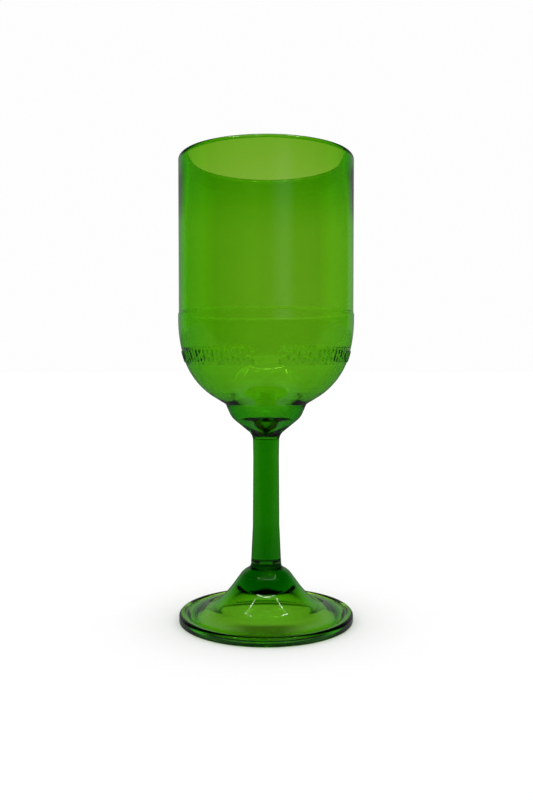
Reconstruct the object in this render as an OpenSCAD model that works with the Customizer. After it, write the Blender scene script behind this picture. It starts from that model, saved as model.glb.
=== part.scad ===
// Stemmed wine glass whose bowl is the shoulder end of a bottle turned upside down.
// Units are millimetres. +Z is up and the origin is the centre of the face the foot rests on.

/* [Overall] */
// Height from the floor to the top of the rim
glass_h = 200; // [190:1:210]
// Thickness of the adhesive film at each end of the stem
bond_t = 0.2; // [0.1:0.1:0.4]

/* [Bowl] */
// Outside diameter of the straight label panel below the rim
panel_d = 75; // [74.6:0.2:75.4]
// How far the shoulder stands proud of the label panel, on the radius
contact_step = 0.33; // [0.25:0.01:0.5]
// Wall thickness of the shoulder
wall = 3; // [2.6:0.1:3.2]
// Wall thickness at the rim, where the bore narrows
rim_wall = 4.2; // [3:0.1:4.6]
// Height below the rim over which the bore narrows
taper_h = 28; // [24:1:36]
// Wall thickness at the lower end of the neck, measured level
neck_wall = 6; // [5.6:0.1:6.4]
// Thickness of the glass that closes the neck, on the axis
tip_floor = 4.9; // [4.6:0.1:5.2]
// Height of the lower edge of the label panel
panel_z = 133.6; // [132.4:0.2:140]
// Length of the straight run from the shoulder to the waist
waist_run = 5; // [4.6:0.1:5.4]
// Length of the neck below the waist
neck_run = 3.9; // [3.5:0.1:4.3]
// Radius of the knuckle under the neck
knuckle_r = 8.2; // [7.8:0.1:8.6]

/* [Moulded marks] */
// Number of mark places round the shoulder
mark_count = 96; // [72:4:100]
// How far each mark stands out from the shoulder
mark_relief = 0.35; // [0.2:0.05:0.5]
// Width of one bar of a mark
mark_w = 0.8; // [0.6:0.1:1]
// Height of the lower edge of the ring of marks
mark_z = 112; // [110:0.5:113]
// Height of a tall bar
mark_h = 5; // [4:0.5:6]

/* [Stem] */
// Diameter of the stem where it meets the bowl
stem_top_d = 11.5; // [11:0.1:11.6]
// Diameter of the slimmest part of the stem
stem_waist_d = 11.2; // [10.8:0.1:11.4]
// Diameter of the flared end that meets the foot
stem_foot_d = 13.1; // [12.6:0.1:13.1]

/* [Foot] */
// Height of the foot
foot_h = 25.1; // [25:0.1:26]
// Outside diameter of the foot
foot_d = 75.7; // [75:0.1:77]
// Thickness of the foot at its edge
edge_t = 3.8; // [3.7:0.1:4]
// Inner diameter of the flat ring the foot rests on
rest_d = 64; // [62:0.5:66]
// Height of the hollow under the foot
hollow_h = 14.3; // [13.5:0.1:15]
// Diameter of the nearly level crown of the hollow
crown_d = 20; // [18:0.5:21]

/* [Hidden] */
$fn = 120;
// Largest turn between two points of a curve, in degrees
curve_step = 4;

// Bowl outline above the waist: radius of each curve and the lean where it ends
panel_r = panel_d / 2;
contact_r = panel_r + contact_step;
shoulder_z = 130.5;
step_h = 1.1;
shoulder_r = 58.8;
shoulder_lean = 15.3;
base_r = 30.6;
base_lean = 58.6;

// Bowl outline below the waist
waist_r = 1.5;
neck_lean = 23.6;
tip_lean = 50.8;
tip_run = 7.5;
join_r = 5.1;
join_lean = 10;

// Inside of the bowl: lean where the shoulder curve stops, how far the corner above the neck lies
// in from the waist and above it, the rounding of both corners, and the rounding of the tip
cavity_lean = 54;
waist_in = 3.6;
waist_up = 2.1;
waist_in_round = 2;
neck_in_round = 1;
tip_round = 0.5;

// Bore, the rounding where it starts to narrow, and the rounded lip
bore_r = contact_r - wall;
taper_round = 60;
lip_r = rim_wall / 2;
lip_z = glass_h - lip_r;

// Marks: height of a short bar, half width of the gap left plain at the front and the back,
// and depth of a bar inside the wall
short_h = mark_h * 0.38;
gap_half = 10;
mark_root = 0.8;

// Stem: heights where the flare ends and where the slimmest part lies, above the foot
flare_end_z = 16;
slim_z = 46;

// Foot outline from the collar down
collar_r = 6.58;
collar_h = 0.45;
cove_r = 2.35;
cove_lean = 65.5;
bell_r = 7.93;
bell_lean = 35.7;
bell_run = 5.86;
flare_r = 35;
flare_lean = 50.2;
disc_r = 19.7;
disc_lean = 84;
edge_round = 1.3;
sole_round = 0.5;
groove_r = 0.6;
groove_in = 3.3;
groove_depth = 0.3;

// Under side of the foot: how far the crown drops to its corner, the rounding of that corner,
// the corner where the side of the hollow meets the shallow recess, and the edge of the recess
crown_drop = 1.3;
crown_round = 6;
side_foot_r = 20;
side_foot_z = 4.8;
side_foot_round = 10;
recess_round = 1.2;
recess_lean = 210;

// The lean of an outline is its angle from the vertical. The bowl leans in on the way down
// and the foot leans out. These are the outward directions square to each.
function facing_in(a) = [cos(a), -sin(a)];
function facing_out(a) = [cos(a), sin(a)];
function run_in(p, a, len) = p - len * [sin(a), cos(a)];
function run_out(p, a, len) = p + len * [sin(a), -cos(a)];

// Centres of the bowl curves, each tangent to the one above it
shoulder_c = [contact_r - shoulder_r, shoulder_z];
base_c = shoulder_c + (shoulder_r - base_r) * facing_in(shoulder_lean);
side_end_z = (shoulder_c + shoulder_r * facing_in(shoulder_lean)).y;
waist_top = run_in(base_c + base_r * facing_in(base_lean), base_lean, waist_run);
waist_c = waist_top + waist_r * facing_in(base_lean);
waist_end = waist_c - waist_r * facing_in(neck_lean);
neck_end = run_in(waist_end, neck_lean, neck_run);
knuckle_c = neck_end - knuckle_r * facing_in(neck_lean);
tip_end = run_in(knuckle_c + knuckle_r * facing_in(tip_lean), tip_lean, tip_run);
join_c = tip_end + join_r * facing_in(tip_lean);
bowl_z = (join_c - join_r * facing_in(join_lean)).y;

// Corners of the inside of the neck, and the ball that rounds the tip of the cone under them
upper_in = waist_end + [-waist_in, waist_up];
lower_in = neck_end - [neck_wall, 0];
cone_lean = atan2(lower_in.x, lower_in.y - bowl_z - tip_floor);
ball_c = [0, bowl_z + tip_floor + tip_round / sin(cone_lean)];

// Centres of the foot curves
cove_c = [collar_r + cove_r, foot_h - collar_h];
bell_c = cove_c - (cove_r + bell_r) * facing_out(cove_lean);
bell_end = bell_c + bell_r * facing_out(bell_lean);
flare_top = run_out(bell_end, bell_lean, bell_run);
flare_c = flare_top + flare_r * facing_out(bell_lean);
disc_c = flare_c + (disc_r - flare_r) * facing_out(flare_lean);

// Corners of the under side
crown_in = [crown_d / 2, hollow_h - crown_drop];
side_foot = [side_foot_r, side_foot_z];

stem_z = foot_h + bond_t;
stem_h = bowl_z - bond_t - stem_z;

// Points on a curve about c from lean a to lean b. A negative r gives a curve that sweeps inward.
function steps(a, b) = ceil(abs(b - a) / curve_step);
function curve_in(c, r, a, b) =
    [for (i = [0 : steps(a, b)]) c + r * facing_in(a + (b - a) * i / steps(a, b))];
function curve_out(c, r, a, b) =
    [for (i = [0 : steps(a, b)]) c + r * facing_out(a + (b - a) * i / steps(a, b))];

// Points on the rounding of radius r at corner b of the line from a to c
function corner(a, b, c, r) =
    let (
        u = (a - b) / norm(a - b),
        v = (c - b) / norm(c - b),
        half = acos(u * v) / 2,
        centre = b + (u + v) / norm(u + v) * r / sin(half),
        first = b + u * r / tan(half) - centre,
        side = sign(u.y * v.x - u.x * v.y),
        turn = side * (180 - 2 * half),
        start = atan2(first.y, first.x),
        n = steps(0, turn)
    )
    [for (i = [0 : n]) centre + r * [cos(start + turn * i / n), sin(start + turn * i / n)]];

// The same points in the opposite order
function reversed(path) = [for (i = [len(path) - 1 : -1 : 0]) path[i]];

// Bowl outline from the top of the shoulder down to the given lean, shrunk by t all round
function shoulder_path(t, lean) = concat(
    curve_in(shoulder_c, shoulder_r - t, 0, shoulder_lean),
    curve_in(base_c, base_r - t, shoulder_lean, lean)
);

// Radius of the shoulder at height z
function skin_r(z) = z > side_end_z
    ? shoulder_c.x + sqrt(pow(shoulder_r, 2) - pow(z - shoulder_c.y, 2))
    : base_c.x + sqrt(pow(base_r, 2) - pow(z - base_c.y, 2));

module bowl_section() {
    outside = concat(
        [[panel_r, panel_z], [contact_r, panel_z - step_h]],
        shoulder_path(0, base_lean),
        curve_in(waist_c, -waist_r, base_lean, neck_lean),
        curve_in(knuckle_c, knuckle_r, neck_lean, tip_lean),
        curve_in(join_c, -join_r, tip_lean, join_lean)
    );
    shoulder_in = shoulder_path(wall, cavity_lean);
    shoulder_end = shoulder_in[len(shoulder_in) - 1];
    mouth = [panel_r - rim_wall, lip_z];
    inside = concat(
        [mouth],
        corner(mouth, [bore_r, glass_h - taper_h], shoulder_in[0], taper_round),
        shoulder_in,
        corner(shoulder_end, upper_in, lower_in, waist_in_round),
        corner(upper_in, lower_in, [0, bowl_z + tip_floor], neck_in_round),
        curve_in(ball_c, tip_round, cone_lean, 90)
    );
    lip = curve_out([panel_r - lip_r, lip_z], lip_r, 180, 0);
    polygon(concat([[0, bowl_z]], reversed(inside), lip, outside));
}

// A raised bar on the shoulder, centred on angle a
module bar(a, z, h) {
    low_r = skin_r(z);
    high_r = skin_r(z + h);
    turn = mark_w / contact_r * 180 / PI;
    rotate([0, 0, a - turn / 2]) rotate_extrude(angle = turn)
        polygon([
            [low_r - mark_root, z],
            [low_r + mark_relief, z],
            [high_r + mark_relief, z + h],
            [high_r - mark_root, z + h]
        ]);
}

// Tall bars and pairs of short bars in turn round the shoulder
module marks() {
    step = 360 / mark_count;
    for (i = [0 : mark_count - 1])
        if (abs(cos(i * step)) > sin(gap_half)) {
            if (i % 2 == 0) {
                bar(i * step, mark_z, mark_h);
            } else {
                bar(i * step, mark_z, short_h);
                bar(i * step, mark_z + mark_h - short_h, short_h);
            }
        }
}

module bowl() {
    color([0.33, 0.62, 0.12]) union() {
        rotate_extrude() bowl_section();
        marks();
    }
}

module bowl_bond() {
    color([0.55, 0.75, 0.4])
        translate([0, 0, bowl_z - bond_t]) cylinder(h = bond_t, d = stem_top_d);
}

module stem() {
    color([0.12, 0.5, 0.08]) translate([0, 0, stem_z]) rotate_extrude()
        polygon([
            [0, 0],
            [stem_foot_d / 2, 0],
            [stem_waist_d / 2 + 0.2, flare_end_z],
            [stem_waist_d / 2, slim_z],
            [stem_top_d / 2, stem_h],
            [0, stem_h]
        ]);
}

module foot_bond() {
    color([0.55, 0.75, 0.4])
        translate([0, 0, foot_h]) cylinder(h = bond_t, d = stem_foot_d);
}

module foot_section() {
    rim_r = foot_d / 2;
    rest_r = rest_d / 2;
    groove_c = [rim_r - groove_in, edge_t - groove_depth + groove_r];
    groove_a = acos((groove_r - groove_depth) / groove_r);
    top = concat(
        [[0, foot_h], [collar_r, foot_h]],
        curve_out(cove_c, -cove_r, 0, cove_lean),
        curve_out(bell_c, bell_r, cove_lean, bell_lean),
        curve_out(flare_c, -flare_r, bell_lean, flare_lean),
        curve_out(disc_c, -disc_r, flare_lean, disc_lean),
        curve_out(groove_c, groove_r, -90 - groove_a, groove_a - 90)
    );
    edge = concat(
        curve_out([rim_r - edge_round, edge_t - edge_round], edge_round, 90, 0),
        curve_out([rim_r - sole_round, sole_round], sole_round, 0, -90)
    );
    recess = curve_out([rest_r, recess_round], recess_round, 270, recess_lean);
    under = concat(
        recess,
        corner(recess[len(recess) - 1], side_foot, crown_in, side_foot_round),
        corner(side_foot, crown_in, [0, hollow_h], crown_round),
        [[0, hollow_h]]
    );
    polygon(concat(top, edge, under));
}

module foot() {
    color([0.24, 0.55, 0.1]) rotate_extrude() foot_section();
}

bowl();
bowl_bond();
stem();
foot_bond();
foot();
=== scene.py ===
"""Looks of the stemmed bottle-glass goblet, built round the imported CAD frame. Units are metres."""

import math

import bpy
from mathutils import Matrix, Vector


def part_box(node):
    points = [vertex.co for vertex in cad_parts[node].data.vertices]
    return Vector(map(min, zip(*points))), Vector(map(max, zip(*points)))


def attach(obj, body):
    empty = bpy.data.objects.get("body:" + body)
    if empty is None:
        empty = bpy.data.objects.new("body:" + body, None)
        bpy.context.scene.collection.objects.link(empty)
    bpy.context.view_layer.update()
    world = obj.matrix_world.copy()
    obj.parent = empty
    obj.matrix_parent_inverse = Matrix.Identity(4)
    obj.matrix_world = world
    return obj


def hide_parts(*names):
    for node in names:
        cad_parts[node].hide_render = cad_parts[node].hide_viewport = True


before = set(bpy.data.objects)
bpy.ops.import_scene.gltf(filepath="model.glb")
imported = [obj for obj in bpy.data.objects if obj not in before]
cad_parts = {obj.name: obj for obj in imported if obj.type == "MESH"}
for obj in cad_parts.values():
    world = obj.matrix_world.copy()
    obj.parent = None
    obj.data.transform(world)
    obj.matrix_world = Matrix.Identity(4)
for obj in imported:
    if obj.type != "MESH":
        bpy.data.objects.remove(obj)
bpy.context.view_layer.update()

# Outlines are written in mm and degrees, as (r, z). Everything else is in metres.
MM = 0.001


# ---------------------------------------------------------------- camera
# 36 cm away, a little above half height, looking slightly down
EYE = (0.0, -0.3584, 0.1094)
EYE_TILT = 87.83
LENS, SENSOR, LENS_SHIFT = 37.22, 36.0, 0.0005
CLIP_NEAR, CLIP_FAR = 0.01, 100.0


def make_camera():
    data = bpy.data.cameras.new("camera")
    data.lens = LENS
    data.sensor_width = SENSOR
    data.shift_x = LENS_SHIFT
    data.clip_start = CLIP_NEAR
    data.clip_end = CLIP_FAR
    obj = bpy.data.objects.new("camera", data)
    obj.location = EYE
    obj.rotation_euler = (math.radians(EYE_TILT), 0.0, 0.0)
    bpy.context.scene.collection.objects.link(obj)
    bpy.context.scene.camera = obj


make_camera()


# ---------------------------------------------------------------- outlines
# The lean of an outline is its angle from the vertical. The bowl leans in on the way down and the
# foot leans out.
def facing_in(a):
    """The outward direction square to a bowl outline of lean a, in radians."""
    return Vector((math.cos(a), -math.sin(a)))


def facing_out(a):
    """The outward direction square to a foot outline of lean a, in radians."""
    return Vector((math.cos(a), math.sin(a)))


def up_bowl(degrees):
    """The direction up a bowl outline of that lean."""
    a = math.radians(degrees)
    return Vector((math.sin(a), math.cos(a)))


def down_foot(degrees):
    """The direction down a foot outline of that lean."""
    a = math.radians(degrees)
    return Vector((math.sin(a), -math.cos(a)))


def curve(face, centre, radius, a, b, step=2.0):
    """
    Points about every step degrees on a round stretch about centre, from lean a to lean b. A
    negative radius makes the stretch hollow.
    """
    n = max(2, math.ceil(abs(b - a) / step))
    return [centre + radius * face(math.radians(a + (b - a) * i / n)) for i in range(n + 1)]


def fill(points, gap):
    """The same line with points no further apart than gap."""
    out = [points[0]]
    for a, b in zip(points, points[1:]):
        n = max(1, math.ceil((b - a).length / gap))
        out += [a.lerp(b, (i + 1) / n) for i in range(n)]
    return out


def corner(before, p, after, radius, step=4.0):
    """Points on the rounding of corner p of the line from before to after."""
    u, v = (before - p).normalized(), (after - p).normalized()
    half = math.acos(u.dot(v)) / 2
    centre = p + (u + v).normalized() * (radius / math.sin(half))
    first = p + u * (radius / math.tan(half)) - centre
    turn = math.copysign(math.pi - 2 * half, u.y * v.x - u.x * v.y)
    start = math.atan2(first.y, first.x)
    n = max(2, math.ceil(math.degrees(abs(turn)) / step))
    angles = [start + turn * i / n for i in range(n + 1)]
    return [centre + radius * Vector((math.cos(a), math.sin(a))) for a in angles]


def tidy(points, least=0.02):
    """Drops points that lie on top of the one before."""
    out = [points[0]]
    for p in points[1:]:
        if (p - out[-1]).length > least:
            out.append(p)
    return out


def at(face, degrees):
    """The direction that face gives for that lean."""
    return face(math.radians(degrees))


# Bowl: height of the rim and the thickness of the shoulder, the neck and the closed tip
GLASS_H, WALL, NECK_WALL, TIP_FLOOR = 200.0, 3.0, 6.0, 4.9
# Outside, from the label panel to the joint: radii R, straight runs RUN and leans LEAN
PANEL_R, CONTACT_R, PANEL_Z, STEP_H, STEP_ROUND = 37.5, 37.83, 133.6, 1.1, 0.8
SHOULDER_Z, SHOULDER_R, SHOULDER_LEAN = 130.5, 58.8, 15.3
BASE_R, BASE_LEAN = 30.6, 58.6
WAIST_RUN, WAIST_R = 5.0, 1.5
NECK_LEAN, NECK_RUN = 23.6, 3.9
KNUCKLE_R, TIP_LEAN, TIP_RUN = 8.2, 50.8, 7.5
JOIN_R, JOIN_LEAN = 5.1, 10.0
# Inside: the thicker rim and the height it thins over, then the corners of the waist and neck
RIM_WALL, TAPER_H, TAPER_ROUND = 4.2, 28.0, 60.0
CAVITY_LEAN, WAIST_IN, WAIST_UP, WAIST_IN_ROUND, NECK_IN_ROUND = 54.0, 3.6, 2.1, 2.0, 1.0
TIP_ROUND = 0.5


def bowl_outline():
    """(outside from lip to joint, inside from lip to axis), each a list of (r, z) in mm."""
    shoulder_c = Vector((CONTACT_R - SHOULDER_R, SHOULDER_Z))
    base_c = shoulder_c + (SHOULDER_R - BASE_R) * at(facing_in, SHOULDER_LEAN)
    waist_top = base_c + BASE_R * at(facing_in, BASE_LEAN) - WAIST_RUN * up_bowl(BASE_LEAN)
    waist_c = waist_top + WAIST_R * at(facing_in, BASE_LEAN)
    waist_end = waist_c - WAIST_R * at(facing_in, NECK_LEAN)
    neck_end = waist_end - NECK_RUN * up_bowl(NECK_LEAN)
    knuckle_c = neck_end - KNUCKLE_R * at(facing_in, NECK_LEAN)
    tip_end = knuckle_c + KNUCKLE_R * at(facing_in, TIP_LEAN) - TIP_RUN * up_bowl(TIP_LEAN)
    join_c = tip_end + JOIN_R * at(facing_in, TIP_LEAN)
    join_end = join_c - JOIN_R * at(facing_in, JOIN_LEAN)
    upper_in = waist_end + Vector((-WAIST_IN, WAIST_UP))
    lower_in = neck_end - Vector((NECK_WALL, 0.0))
    tip_in = Vector((0.0, join_end.y + TIP_FLOOR))

    def shoulder(t, lean):
        """The round shoulder t inside the outer face, down to that lean."""
        side = curve(facing_in, shoulder_c, SHOULDER_R - t, 0, SHOULDER_LEAN)
        return side + curve(facing_in, base_c, BASE_R - t, SHOULDER_LEAN, lean, step=3.0)

    bore_r = CONTACT_R - WALL
    lip_r = RIM_WALL / 2
    lip_c = Vector((PANEL_R - lip_r, GLASS_H - lip_r))
    lip = curve(facing_out, lip_c, lip_r, 90, 0, step=10.0)
    step_top, step_foot = Vector((PANEL_R, PANEL_Z)), Vector((CONTACT_R, PANEL_Z - STEP_H))
    outside = (
        lip
        + corner(lip[-1], step_top, step_foot, STEP_ROUND)
        + corner(step_top, step_foot, Vector((CONTACT_R, SHOULDER_Z)), STEP_ROUND)
        + shoulder(0, BASE_LEAN)
        + curve(facing_in, waist_c, -WAIST_R, BASE_LEAN, NECK_LEAN, step=5.0)
        + curve(facing_in, knuckle_c, KNUCKLE_R, NECK_LEAN, TIP_LEAN, step=3.0)
        + curve(facing_in, join_c, -JOIN_R, TIP_LEAN, JOIN_LEAN, step=3.0)
    )
    inside = curve(facing_out, lip_c, lip_r, 90, 180, step=10.0)
    taper_end = Vector((bore_r, GLASS_H - TAPER_H))
    inside += corner(inside[-1], taper_end, Vector((bore_r, SHOULDER_Z)), TAPER_ROUND)
    inside += shoulder(WALL, CAVITY_LEAN)
    inside += corner(inside[-1], upper_in, lower_in, WAIST_IN_ROUND)
    inside += corner(upper_in, lower_in, tip_in, NECK_IN_ROUND)
    cone_lean = math.degrees(math.atan2(lower_in.x, lower_in.y - tip_in.y))
    ball_c = tip_in + Vector((0.0, TIP_ROUND / math.sin(math.radians(cone_lean))))
    inside += curve(facing_in, ball_c, TIP_ROUND, cone_lean, 90, step=10.0)
    return outside, inside


# Foot: heights, radii and the thickness of its edge
FOOT_H, FOOT_R, EDGE_T, REST_R = 25.1, 37.85, 3.8, 32.0
# Top, from the joint to the edge
COLLAR_R, COLLAR_H = 6.58, 0.45
COVE_R, COVE_LEAN, BELL_R, BELL_LEAN, BELL_RUN = 2.35, 65.5, 7.93, 35.7, 5.86
FLARE_R, FLARE_LEAN, DISC_R, DISC_LEAN = 35.0, 50.2, 19.7, 84.0
EDGE_ROUND, SOLE_ROUND = 1.3, 0.5
GROOVE_R, GROOVE_IN, GROOVE_DEPTH = 0.6, 3.3, 0.3
# Under side: the hollow, its crown and the foot of its side, then the shallow recess
HOLLOW_H, CROWN_R, CROWN_DROP, CROWN_ROUND = 14.3, 10.0, 1.3, 6.0
SIDE_FOOT_R, SIDE_FOOT_Z, SIDE_FOOT_ROUND = 20.0, 4.8, 10.0
RECESS_ROUND, RECESS_LEAN = 1.2, 210.0


def foot_outline():
    """(top from joint over the edge to the floor, under side from axis to the resting ring)."""
    cove_c = Vector((COLLAR_R + COVE_R, FOOT_H - COLLAR_H))
    bell_c = cove_c - (COVE_R + BELL_R) * at(facing_out, COVE_LEAN)
    bell_end = bell_c + BELL_R * at(facing_out, BELL_LEAN)
    flare_top = bell_end + BELL_RUN * down_foot(BELL_LEAN)
    flare_c = flare_top + FLARE_R * at(facing_out, BELL_LEAN)
    disc_c = flare_c + (DISC_R - FLARE_R) * at(facing_out, FLARE_LEAN)
    groove_c = Vector((FOOT_R - GROOVE_IN, EDGE_T - GROOVE_DEPTH + GROOVE_R))
    groove_a = math.degrees(math.acos((GROOVE_R - GROOVE_DEPTH) / GROOVE_R))
    edge_c = Vector((FOOT_R - EDGE_ROUND, EDGE_T - EDGE_ROUND))
    sole_c = Vector((FOOT_R - SOLE_ROUND, SOLE_ROUND))
    top = (
        curve(facing_out, cove_c, -COVE_R, 0, COVE_LEAN, step=5.0)
        + curve(facing_out, bell_c, BELL_R, COVE_LEAN, BELL_LEAN)
        + curve(facing_out, flare_c, -FLARE_R, BELL_LEAN, FLARE_LEAN, step=1.0)
        + curve(facing_out, disc_c, -DISC_R, FLARE_LEAN, DISC_LEAN)
        + curve(facing_out, groove_c, GROOVE_R, -90 - groove_a, groove_a - 90, step=15.0)
        + curve(facing_out, edge_c, EDGE_ROUND, 90, 0, step=7.5)
        + curve(facing_out, sole_c, SOLE_ROUND, 0, -90, step=15.0)
    )
    recess_c = Vector((REST_R, RECESS_ROUND))
    recess = curve(facing_out, recess_c, RECESS_ROUND, RECESS_LEAN, 270, step=10.0)
    peak = Vector((0.0, HOLLOW_H))
    crown = Vector((CROWN_R, HOLLOW_H - CROWN_DROP))
    side_foot = Vector((SIDE_FOOT_R, SIDE_FOOT_Z))
    under = (
        [peak]
        + corner(peak, crown, side_foot, CROWN_ROUND)
        + corner(crown, side_foot, recess[0], SIDE_FOOT_ROUND)
        + recess
    )
    return top, under


# ---------------------------------------------------------------- turned meshes
# Closer than this, in mm, is the same place
SAME = 1e-6


def turned(name, profile, around=256, place=None, joints=()):
    """
    A closed turned solid. profile runs from axis to axis. place(i, p, a) gives the (x, y, z) of
    profile point i at angle a where it isn't simply turned. Level faces at the heights in joints
    take the second material.
    """
    def simply(i, p, a):
        return p.x * math.cos(a), p.x * math.sin(a), p.y

    place = place or simply
    verts, rings = [], []
    for i, p in enumerate(profile):
        count = 1 if p.x < SAME else around
        rings.append(range(len(verts), len(verts) + count))
        for k in range(count):
            x, y, z = place(i, p, 2 * math.pi * k / around)
            verts.append((x * MM, y * MM, z * MM))
    faces, bonded = [], []
    for i, (low, high) in enumerate(zip(rings, rings[1:])):
        here, there = profile[i].y, profile[i + 1].y
        at_joint = abs(here - there) < SAME and any(abs(here - z) < SAME for z in joints)
        bonded += [int(at_joint)] * around
        for k in range(around):
            j = (k + 1) % around
            if len(low) == 1:
                faces.append((low[0], high[j], high[k]))
            elif len(high) == 1:
                faces.append((low[j], high[0], low[k]))
            else:
                faces.append((low[j], high[j], high[k], low[k]))
    area = sum(a.x * b.y - b.x * a.y for a, b in zip(profile, profile[1:]))
    if area < 0:
        faces = [tuple(reversed(f)) for f in faces]
    mesh = bpy.data.meshes.new(name)
    mesh.from_pydata(verts, [], faces)
    mesh.shade_smooth()
    mesh.polygons.foreach_set("material_index", bonded)
    mesh.validate()
    obj = bpy.data.objects.new(name, mesh)
    bpy.context.scene.collection.objects.link(obj)
    return obj


# Moulded marks: places round the shoulder, mesh steps in each place and in each bar, and relief
MARKS, MARK_STEPS, BAR_STEPS, MARK_RELIEF = 96, 6, 3, 0.35
# Their lower edge, the heights of a tall and a short bar, and the slope of a bar's ends
MARK_Z, MARK_H, SHORT_H, MARK_SLOPE = 112.0, 5.0, 1.9, 0.25
# Half width of the plain gap at the front and the back
GAP_HALF = math.radians(10)

# The bore was blown a little off centre and the wall a little uneven. BORE_START is how far below
# the panel that begins; the other three are the lobes round the bore and its ripples along it.
BORE_X, BORE_Y, BORE_UNEVEN, BORE_START = 0.35, 0.5, 0.06, 40.0
BORE_LOBES, BORE_TWIST, BORE_RIPPLE = 3, 9.0, 13.0

# Bevel round each joint face, and the place of an extra ring on the bowl's, as a share of its radius
JOINT_BEVEL, JOINT_RING = 0.03, 0.6
# Longest spans of the bowl's outside and bore, and the rings that hold the step's corners crisp
OUTSIDE_SPAN, BORE_SPAN, STEP_RINGS = 8.0, 6.0, (0.3, 0.9)


def mark_rise(z, low, high):
    """1 between low and high, 0 outside and a slope at each end."""
    return max(0.0, min(1.0, (z - low) / MARK_SLOPE, (high - z) / MARK_SLOPE))


def mark_lift(z, a):
    """How far the outside stands out at height z and angle a, in mm."""
    if not MARK_Z <= z <= MARK_Z + MARK_H:
        return 0.0
    if abs(math.cos(a)) < math.sin(GAP_HALF):
        return 0.0
    step = round(a / (2 * math.pi) * MARKS * MARK_STEPS)
    place, part = divmod(step + 1, MARK_STEPS)
    if part >= BAR_STEPS:
        return 0.0
    if place % 2 == 0:
        return MARK_RELIEF * mark_rise(z, MARK_Z, MARK_Z + MARK_H)
    low = mark_rise(z, MARK_Z, MARK_Z + SHORT_H)
    high = mark_rise(z, MARK_Z + MARK_H - SHORT_H, MARK_Z + MARK_H)
    return MARK_RELIEF * max(low, high)


def with_rings(points, heights):
    """The same falling line with a point added at each of the heights it crosses."""
    out = [points[0]]
    for a, b in zip(points, points[1:]):
        for z in sorted((z for z in heights if b.y < z < a.y), reverse=True):
            out.append(a.lerp(b, (a.y - z) / (a.y - b.y)))
        out.append(b)
    return out


def make_bowl():
    outside, inside = bowl_outline()
    bottom, r = outside[-1].y, outside[-1].x
    edges = (0.0, SHORT_H, MARK_H - SHORT_H, MARK_H)
    heights = {MARK_Z + e for e in edges}
    heights |= {MARK_Z + e + MARK_SLOPE for e in (edges[0], edges[2])}
    heights |= {MARK_Z + e - MARK_SLOPE for e in (edges[1], edges[3])}
    heights |= {PANEL_Z + gap for gap in STEP_RINGS}
    heights |= {PANEL_Z - STEP_H - gap for gap in STEP_RINGS}
    outside = with_rings(fill(tidy(outside), OUTSIDE_SPAN), heights)
    skin = [Vector((r - JOINT_BEVEL, bottom))] + list(reversed(outside))
    bore = fill(tidy(inside[1:]), BORE_SPAN)
    bore[-1].x = 0.0
    joint_face = [Vector((0, bottom)), Vector((r * JOINT_RING, bottom))]
    first_in = len(joint_face) + len(skin)
    low, high = PANEL_Z - BORE_START, GLASS_H

    def place(i, p, a):
        """Raises the marks on the outside and lets the bore drift."""
        if i < first_in:
            lift = p.x + mark_lift(p.y, a)
            return lift * math.cos(a), lift * math.sin(a), p.y
        share = math.sin(math.pi * max(0.0, min(1.0, (p.y - low) / (high - low))))
        lobes = math.sin(BORE_LOBES * a + p.y / BORE_TWIST)
        wall = p.x + share * BORE_UNEVEN * lobes * math.sin(p.y / BORE_RIPPLE)
        return wall * math.cos(a) + share * BORE_X, wall * math.sin(a) + share * BORE_Y, p.y

    line = joint_face + skin + bore
    return turned("glass_bowl", line, MARKS * MARK_STEPS, place, [bottom])


# Longest span of the foot's outline
FOOT_SPAN = 2.0


def make_foot():
    top, under = foot_outline()
    line = [Vector((0, FOOT_H)), Vector((COLLAR_R - JOINT_BEVEL, FOOT_H))] + tidy(top)
    line += tidy(list(reversed(under)))
    line[-1].x = 0.0
    return turned("glass_foot", fill(line, FOOT_SPAN), joints=[FOOT_H])


# Clearance at each end of a piece that stands between two others
GAP = 0.01
# Stem: radii at the foot, low down, where it is thinnest and at the top, and the heights between
STEM_FOOT_R, STEM_LOW_R, STEM_THIN_R, STEM_TOP_R = 6.55, 5.8, 5.6, 5.75
STEM_LOW_Z, STEM_THIN_Z, STEM_SPAN = 41.3, 71.3, 1.0


def make_stem():
    low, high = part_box("stem")
    z0, z1 = low.z / MM + GAP, high.z / MM - GAP
    line = [
        Vector((0, z0)),
        Vector((STEM_FOOT_R - JOINT_BEVEL, z0)),
        Vector((STEM_FOOT_R, z0 + JOINT_BEVEL)),
        Vector((STEM_LOW_R, STEM_LOW_Z)),
        Vector((STEM_THIN_R, STEM_THIN_Z)),
        Vector((STEM_TOP_R, z1 - JOINT_BEVEL)),
        Vector((STEM_TOP_R - JOINT_BEVEL, z1)),
        Vector((0, z1)),
    ]
    return turned("glass_stem", fill(line, STEM_SPAN), joints=[z0, z1])


# Radii of the two films
BOWL_FILM_R, FOOT_FILM_R = 5.72, 6.5


def make_bond(name, node, radius):
    low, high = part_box(node)
    z0, z1 = low.z / MM + GAP, high.z / MM - GAP
    line = [Vector((0, z0)), Vector((radius, z0)), Vector((radius, z1)), Vector((0, z1))]
    return turned(name, line, joints=[z0, z1])


# ---------------------------------------------------------------- glass
# Detail and roughness of the noise that makes the surface waves
WAVE_DETAIL, WAVE_ROUGHNESS = 1.5, 0.4
# Hazier patches: their number per metre, their detail, and the noise they start and end at
PATCH_SCALE, PATCH_DETAIL, PATCH_START, PATCH_END = 40.0, 4.0, 0.45, 0.75


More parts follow.
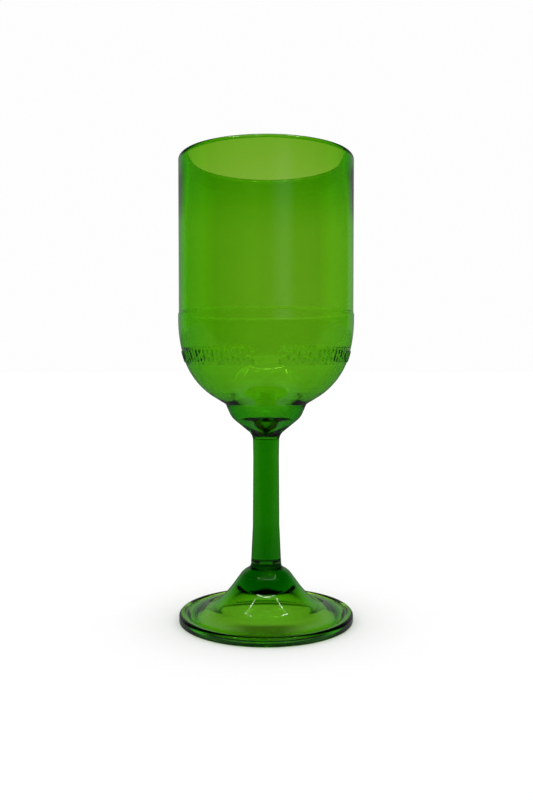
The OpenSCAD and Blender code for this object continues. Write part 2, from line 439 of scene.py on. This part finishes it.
def glass(name, colour, density, ior, wave, size, haze):
    """
    Clear glass that absorbs colour with depth. wave is the depth in m of its slow surface waves,
    size their number per metre across and along, and haze the roughness of the hazier patches.
    """
    mat = bpy.data.materials.new(name)
    mat.use_nodes = True
    nodes, links = mat.node_tree.nodes, mat.node_tree.links
    nodes.clear()
    out = nodes.new("ShaderNodeOutputMaterial")
    surface = nodes.new("ShaderNodeBsdfPrincipled")
    surface.inputs["Base Color"].default_value = (1, 1, 1, 1)
    surface.inputs["Transmission Weight"].default_value = 1.0
    surface.inputs["IOR"].default_value = ior
    links.new(surface.outputs[0], out.inputs["Surface"])

    coord = nodes.new("ShaderNodeTexCoord")
    stretch = nodes.new("ShaderNodeMapping")
    stretch.inputs["Scale"].default_value = (size[0], size[0], size[1])
    links.new(coord.outputs["Object"], stretch.inputs["Vector"])
    ripple = nodes.new("ShaderNodeTexNoise")
    ripple.inputs["Scale"].default_value = 1.0
    ripple.inputs["Detail"].default_value = WAVE_DETAIL
    ripple.inputs["Roughness"].default_value = WAVE_ROUGHNESS
    links.new(stretch.outputs[0], ripple.inputs["Vector"])
    bump = nodes.new("ShaderNodeBump")
    bump.inputs["Strength"].default_value = 1.0
    bump.inputs["Distance"].default_value = wave
    links.new(ripple.outputs["Fac"], bump.inputs["Height"])
    links.new(bump.outputs[0], surface.inputs["Normal"])

    patches = nodes.new("ShaderNodeTexNoise")
    patches.inputs["Scale"].default_value = PATCH_SCALE
    patches.inputs["Detail"].default_value = PATCH_DETAIL
    links.new(coord.outputs["Object"], patches.inputs["Vector"])
    spread = nodes.new("ShaderNodeMapRange")
    spread.inputs["From Min"].default_value = PATCH_START
    spread.inputs["From Max"].default_value = PATCH_END
    spread.inputs["To Min"].default_value = 0.0
    spread.inputs["To Max"].default_value = haze
    links.new(patches.outputs["Fac"], spread.inputs["Value"])
    links.new(spread.outputs[0], surface.inputs["Roughness"])

    volume = nodes.new("ShaderNodeVolumeAbsorption")
    volume.inputs["Color"].default_value = (*colour, 1)
    volume.inputs["Density"].default_value = density
    links.new(volume.outputs[0], out.inputs["Volume"])
    return mat


def bonded_face(mat):
    """The same glass where it is bonded to the next piece, so light passes straight on."""
    joint = mat.copy()
    joint.name = mat.name + "_joint"
    for node in joint.node_tree.nodes:
        if node.type == "BSDF_PRINCIPLED":
            node.inputs["IOR"].default_value = 1.0
            for link in list(node.inputs["Normal"].links) + list(node.inputs["Roughness"].links):
                joint.node_tree.links.remove(link)
            node.inputs["Roughness"].default_value = 0.0
    return joint


# Colour and density of each glass, refractive indices, and each glass's waves and haze
GREEN, BOWL_DENSITY, FOOT_DENSITY = (0.646, 0.887, 0.076), 860.0, 800.0
STEM_GREEN, STEM_DENSITY = (0.5, 0.83, 0.05), 800.0
GLASS_IOR, FILM_IOR = 1.52, 1.50
BOWL_WAVE, BOWL_SIZE, BOWL_HAZE = 0.00004, (90.0, 25.0), 0.02
STEM_WAVE, STEM_SIZE, STEM_HAZE = 0.00001, (120.0, 40.0), 0.01
FOOT_WAVE, FOOT_SIZE, FOOT_HAZE = 0.00002, (70.0, 70.0), 0.02


def make_pieces():
    """The five pieces, each with its glass and the bonded form of it."""
    bowl_glass = glass("bottle_glass", GREEN, BOWL_DENSITY, GLASS_IOR, BOWL_WAVE, BOWL_SIZE, BOWL_HAZE)
    foot_glass = glass("foot_glass", GREEN, FOOT_DENSITY, GLASS_IOR, FOOT_WAVE, FOOT_SIZE, FOOT_HAZE)
    stem_look = (STEM_WAVE, STEM_SIZE, STEM_HAZE)
    stem_glass = glass("stem_glass", STEM_GREEN, STEM_DENSITY, GLASS_IOR, *stem_look)
    film = glass("adhesive", STEM_GREEN, STEM_DENSITY, FILM_IOR, *stem_look)
    bowl, stem, foot = make_bowl(), make_stem(), make_foot()
    bowl_bond = make_bond("bowl_bond_film", "bowl_bond", BOWL_FILM_R)
    foot_bond = make_bond("foot_bond_film", "foot_bond", FOOT_FILM_R)
    for piece, mat, node, slot in (
        (bowl, bowl_glass, "bowl", "bowl_glass"),
        (stem, stem_glass, "stem", "stem_glass"),
        (foot, foot_glass, "foot", "foot_glass"),
        (bowl_bond, film, "bowl_bond", "bond_film"),
        (foot_bond, film, "foot_bond", "bond_film"),
    ):
        piece.data.materials.append(mat)
        piece.data.materials.append(bonded_face(mat))
        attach(piece, "root")
        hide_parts(node)


make_pieces()


# ---------------------------------------------------------------- light box
def math_node(tree, kind, *values):
    """A Math node of that kind on sockets or numbers."""
    node = tree.nodes.new("ShaderNodeMath")
    node.operation = kind
    for i, v in enumerate(values):
        if isinstance(v, (int, float)):
            node.inputs[i].default_value = v
        else:
            tree.links.new(v, node.inputs[i])
    return node.outputs[0]


def times(tree, first, *others):
    """The product of sockets or numbers."""
    for other in others:
        first = math_node(tree, "MULTIPLY", first, other)
    return first


def rest_of(tree, value):
    """1 less value."""
    return math_node(tree, "SUBTRACT", 1.0, value)


def soft_step(tree, value, low, high):
    """0 below low, 1 above high and a smooth rise between."""
    node = tree.nodes.new("ShaderNodeMapRange")
    node.interpolation_type = "SMOOTHSTEP"
    tree.links.new(value, node.inputs["Value"])
    node.inputs["From Min"].default_value = low
    node.inputs["From Max"].default_value = high
    return node.outputs[0]


def near_to(tree, value, mid, half):
    """1 where value is within half of mid."""
    off = math_node(tree, "ABSOLUTE", math_node(tree, "SUBTRACT", value, mid))
    return math_node(tree, "LESS_THAN", off, half)


def choose(tree, share, plain, other):
    """plain where share is 0 and other where it is 1. Both are sockets or numbers."""
    node = tree.nodes.new("ShaderNodeMix")
    node.data_type = "FLOAT"
    tree.links.new(share, node.inputs[0])
    for socket, v in ((node.inputs[2], plain), (node.inputs[3], other)):
        if isinstance(v, float):
            socket.default_value = v
        else:
            tree.links.new(v, socket)
    return node.outputs[0]


# x, y and z of the world shader are the parts of a direction that is one unit long.
# Brightness of the wall behind, how much it rises towards the sides and between which |x|, and how
# much brighter the left is than the right. The walls fade in between WALL_OPEN and WALL_FULL in y.
BOX_WHITE, BOX_SIDES, BOX_TILT = 0.63, 0.40, 0.06
SIDE_START, SIDE_FULL = 0.3, 0.85
WALL_OPEN, WALL_FULL = -0.15, 0.1
# Mirror reflections pick up much less of it, most of it from straight behind
MIRROR_SIDE, MIRROR_BACK = 0.03, 0.24
MIRROR_START, MIRROR_FULL = 0.55, 0.85
# Height z where the white wall starts to fade and where it has faded away
WALL_TOP, CEILING = 0.38, 0.70
# How bright the camera sees it, and how bright it is as plain light
SEEN_WHITE, LIGHT_WHITE = 0.985, 1.09
# Lamp frame, as x / z and y / z: side arms, front strip and back strip
LED_X, LED_FRONT, LED_FRONT_X, LED_BACK = 0.45, -0.54, 0.45, 0.15
LED_HALF, LED_BRIGHT, LED_LOWEST = 0.012, 16.0, 0.01
# The arms, as y / z: from ARM_START to ARM_MID bright, from there to the back strip dim
ARM_START, ARM_MID, ARM_DIM = -0.40, -0.05, 0.1
# Soft glow from the room in front and to the right, as x / -y, and the |z| where it fades away
GLOW_MID, GLOW_HALF, GLOW = 0.42, 0.40, 0.36
GLOW_LOW, GLOW_HIGH = 0.2, 0.4
# Smallest number to divide by
TINY = 0.001


def wall_light(tree, path, x, y, z):
    """White walls behind and beside the object, open towards the camera, dim overhead."""
    back = soft_step(tree, y, WALL_OPEN, WALL_FULL)
    low = rest_of(tree, soft_step(tree, z, WALL_TOP, CEILING))
    shape = times(tree, back, low)
    aside = soft_step(tree, math_node(tree, "ABSOLUTE", x), SIDE_START, SIDE_FULL)
    white = math_node(tree, "ADD", BOX_WHITE, times(tree, aside, BOX_SIDES))
    white = times(tree, white, rest_of(tree, times(tree, x, BOX_TILT)))
    behind = soft_step(tree, y, MIRROR_START, MIRROR_FULL)
    faint = times(tree, behind, MIRROR_BACK - MIRROR_SIDE)
    faint = math_node(tree, "ADD", faint, MIRROR_SIDE)
    mirrored = path.outputs["Is Reflection Ray"]
    return choose(tree, mirrored, times(tree, shape, white), times(tree, shape, faint))


def front_glow(tree, x, y, z):
    """A soft glow in front."""
    front = math_node(tree, "MAXIMUM", times(tree, y, -1.0), TINY)
    away = math_node(tree, "SUBTRACT", math_node(tree, "DIVIDE", x, front), GLOW_MID)
    away = math_node(tree, "ABSOLUTE", away)
    glow = rest_of(tree, soft_step(tree, away, 0.0, GLOW_HALF))
    band = rest_of(tree, soft_step(tree, math_node(tree, "ABSOLUTE", z), GLOW_LOW, GLOW_HIGH))
    return times(tree, glow, band, GLOW, math_node(tree, "LESS_THAN", y, 0.0))


def lamp_light(tree, x, y, z):
    """Lamp strips round the ceiling, met on the plane one unit above."""
    up = math_node(tree, "MAXIMUM", z, TINY)
    u = math_node(tree, "ABSOLUTE", math_node(tree, "DIVIDE", x, up))
    v = math_node(tree, "DIVIDE", y, up)
    front = times(tree, near_to(tree, v, LED_FRONT, LED_HALF), near_to(tree, u, 0.0, LED_FRONT_X))
    back = times(tree, near_to(tree, v, LED_BACK, LED_HALF), near_to(tree, u, 0.0, LED_X))
    bright = near_to(tree, v, (ARM_START + ARM_MID) / 2, (ARM_MID - ARM_START) / 2)
    dim = near_to(tree, v, (ARM_MID + LED_BACK) / 2, (LED_BACK - ARM_MID) / 2)
    arm_light = math_node(tree, "ADD", bright, times(tree, dim, ARM_DIM))
    arm = times(tree, near_to(tree, u, LED_X, LED_HALF), arm_light)
    strip = math_node(tree, "MAXIMUM", math_node(tree, "MAXIMUM", front, back), arm)
    return times(tree, strip, math_node(tree, "GREATER_THAN", z, LED_LOWEST), LED_BRIGHT)


def make_world():
    """The light box for rays that met glass, and plain white for the camera and for plain light."""
    world = bpy.data.worlds.new("light_box")
    bpy.context.scene.world = world
    world.use_nodes = True
    tree = world.node_tree
    tree.nodes.clear()
    out = tree.nodes.new("ShaderNodeOutputWorld")
    path = tree.nodes.new("ShaderNodeLightPath")
    coord = tree.nodes.new("ShaderNodeTexCoord")
    split = tree.nodes.new("ShaderNodeSeparateXYZ")
    tree.links.new(coord.outputs["Generated"], split.inputs[0])
    x, y, z = split.outputs

    box = math_node(tree, "ADD", wall_light(tree, path, x, y, z), front_glow(tree, x, y, z))
    box = math_node(tree, "ADD", box, lamp_light(tree, x, y, z))
    glossy, through = path.outputs["Is Glossy Ray"], path.outputs["Is Transmission Ray"]
    first_hit = math_node(tree, "LESS_THAN", path.outputs["Diffuse Depth"], 0.5)
    by_glass = times(tree, math_node(tree, "MAXIMUM", glossy, through), first_hit)
    plain = choose(tree, path.outputs["Is Camera Ray"], LIGHT_WHITE, SEEN_WHITE)
    ground = tree.nodes.new("ShaderNodeBackground")
    ground.inputs["Color"].default_value = (1, 1, 1, 1)
    tree.links.new(choose(tree, by_glass, plain, box), ground.inputs["Strength"])
    tree.links.new(ground.outputs[0], out.inputs["Surface"])


make_world()


# ---------------------------------------------------------------- floor
FLOOR_SIZE, FLOOR_DROP = 20.0, 0.0001
# Where it fades to dark in front, in y: painted shade that rays which met glass see
FRONT_SHADE_FULL, FRONT_SHADE_END = -0.30, -0.10
# How white the camera sees it, how white glass sees it away from and under the foot, where the
# brighter tone is painted light, how much of that is left in a mirror reflection, and the
# strength of the painted glow under the foot
FLOOR_SEEN, FLOOR_THROUGH, FLOOR_UNDER_LIGHT = 0.985, 0.6, 0.98
FLOOR_MIRRORED, FLOOR_PAINTED_GLOW = 0.12, 0.12
# Radius of the patch of painted light under the foot and where it has faded away
UNDER_LIGHT_R, UNDER_LIGHT_FADE = 0.042, 0.080
# The painted shadow in the middle of that patch: |x| where it fades, its depth, and y where it fades
MIDDLE_START, MIDDLE_END, MIDDLE_SHADOW = 0.005, 0.020, 0.6
MIDDLE_FRONT, MIDDLE_BACK = -0.020, -0.009
# The faint shade round the foot that the camera sees: radii where it fades, and its depth
SHADE_START, SHADE_END, SHADE = 0.036, 0.066, 0.06
# How much whiter glass sees the floor behind the object, as painted light, and between which y that
# rises
FAR_START, FAR_END, FAR_PAINTED_LIGHT = 0.06, 0.30, 0.06


def middle_shadow_tone(tree, x, y, under):
    """1, and less in the painted shadow in the middle of the patch of painted light under the foot."""
    aside = soft_step(tree, math_node(tree, "ABSOLUTE", x), MIDDLE_START, MIDDLE_END)
    inner = soft_step(tree, y, MIDDLE_FRONT, MIDDLE_BACK)
    return rest_of(
        tree, times(tree, rest_of(tree, aside), MIDDLE_SHADOW, rest_of(tree, inner), under)
    )


def glass_tone(tree, path, y, under, middle):
    """How white rays that met glass see the floor, with its painted light and painted shade."""
    # Painted light: the brighter patch under the foot
    patch = times(tree, under, FLOOR_UNDER_LIGHT - FLOOR_THROUGH)
    # Painted light: the floor whiter behind the object
    far_light = times(tree, soft_step(tree, y, FAR_START, FAR_END), FAR_PAINTED_LIGHT)
    white = math_node(tree, "ADD", math_node(tree, "ADD", FLOOR_THROUGH, patch), far_light)
    mirrored = times(tree, path.outputs["Is Reflection Ray"], 1.0 - FLOOR_MIRRORED)
    # Painted shade: the floor fades to dark in front
    front_shade_tone = soft_step(tree, y, FRONT_SHADE_FULL, FRONT_SHADE_END)
    return times(tree, front_shade_tone, white, middle, rest_of(tree, mirrored))


def floor_material():
    """A pale floor with painted light and shade round the foot, and its tone for the camera apart from
    its tone for other rays.
    """
    mat = bpy.data.materials.new("floor")
    mat.use_nodes = True
    tree = mat.node_tree
    surface = tree.nodes["Principled BSDF"]
    surface.inputs["Roughness"].default_value = 1.0
    surface.inputs["Specular IOR Level"].default_value = 0.0
    surface.inputs["Emission Color"].default_value = (1, 1, 1, 1)
    place = tree.nodes.new("ShaderNodeNewGeometry")
    split = tree.nodes.new("ShaderNodeSeparateXYZ")
    tree.links.new(place.outputs["Position"], split.inputs[0])
    x, y = split.outputs[0], split.outputs[1]
    r = math_node(tree, "SQRT", math_node(tree, "ADD", times(tree, x, x), times(tree, y, y)))
    path = tree.nodes.new("ShaderNodeLightPath")
    camera = path.outputs["Is Camera Ray"]

    # Painted light: a brighter patch under the foot, for rays that met glass
    under = rest_of(tree, soft_step(tree, r, UNDER_LIGHT_R, UNDER_LIGHT_FADE))
    # Painted shadow in the middle of that patch
    middle = middle_shadow_tone(tree, x, y, under)
    shade = times(tree, rest_of(tree, soft_step(tree, r, SHADE_START, SHADE_END)), SHADE)
    seen = math_node(tree, "SUBTRACT", FLOOR_SEEN, shade)
    tone = choose(tree, camera, glass_tone(tree, path, y, under, middle), seen)
    grey = tree.nodes.new("ShaderNodeCombineColor")
    for socket in grey.inputs[:3]:
        tree.links.new(tone, socket)
    tree.links.new(grey.outputs[0], surface.inputs["Base Color"])
    # Painted glow: the floor gives off light under the foot, hidden from the camera
    glow = times(tree, under, middle, FLOOR_PAINTED_GLOW, rest_of(tree, camera))
    tree.links.new(glow, surface.inputs["Emission Strength"])
    return mat


def make_floor():
    mesh = bpy.data.meshes.new("floor")
    s = FLOOR_SIZE
    mesh.from_pydata([(-s, -s, 0), (s, -s, 0), (s, s, 0), (-s, s, 0)], [], [(0, 1, 2, 3)])
    obj = bpy.data.objects.new("floor", mesh)
    bpy.context.scene.collection.objects.link(obj)
    obj.data.materials.append(floor_material())
    obj.location.z = -FLOOR_DROP


make_floor()

# ---------------------------------------------------------------- scene settings
# Bounces allowed in all and through glass, and in mirror reflections
GLASS_BOUNCES, GLOSSY_BOUNCES = 48, 24

scene = bpy.context.scene
scene.view_settings.view_transform = "Standard"
scene.view_settings.look = "None"
scene.cycles.max_bounces = GLASS_BOUNCES
scene.cycles.transmission_bounces = GLASS_BOUNCES
scene.cycles.glossy_bounces = GLOSSY_BOUNCES
scene.cycles.caustics_refractive = True
scene.cycles.caustics_reflective = True
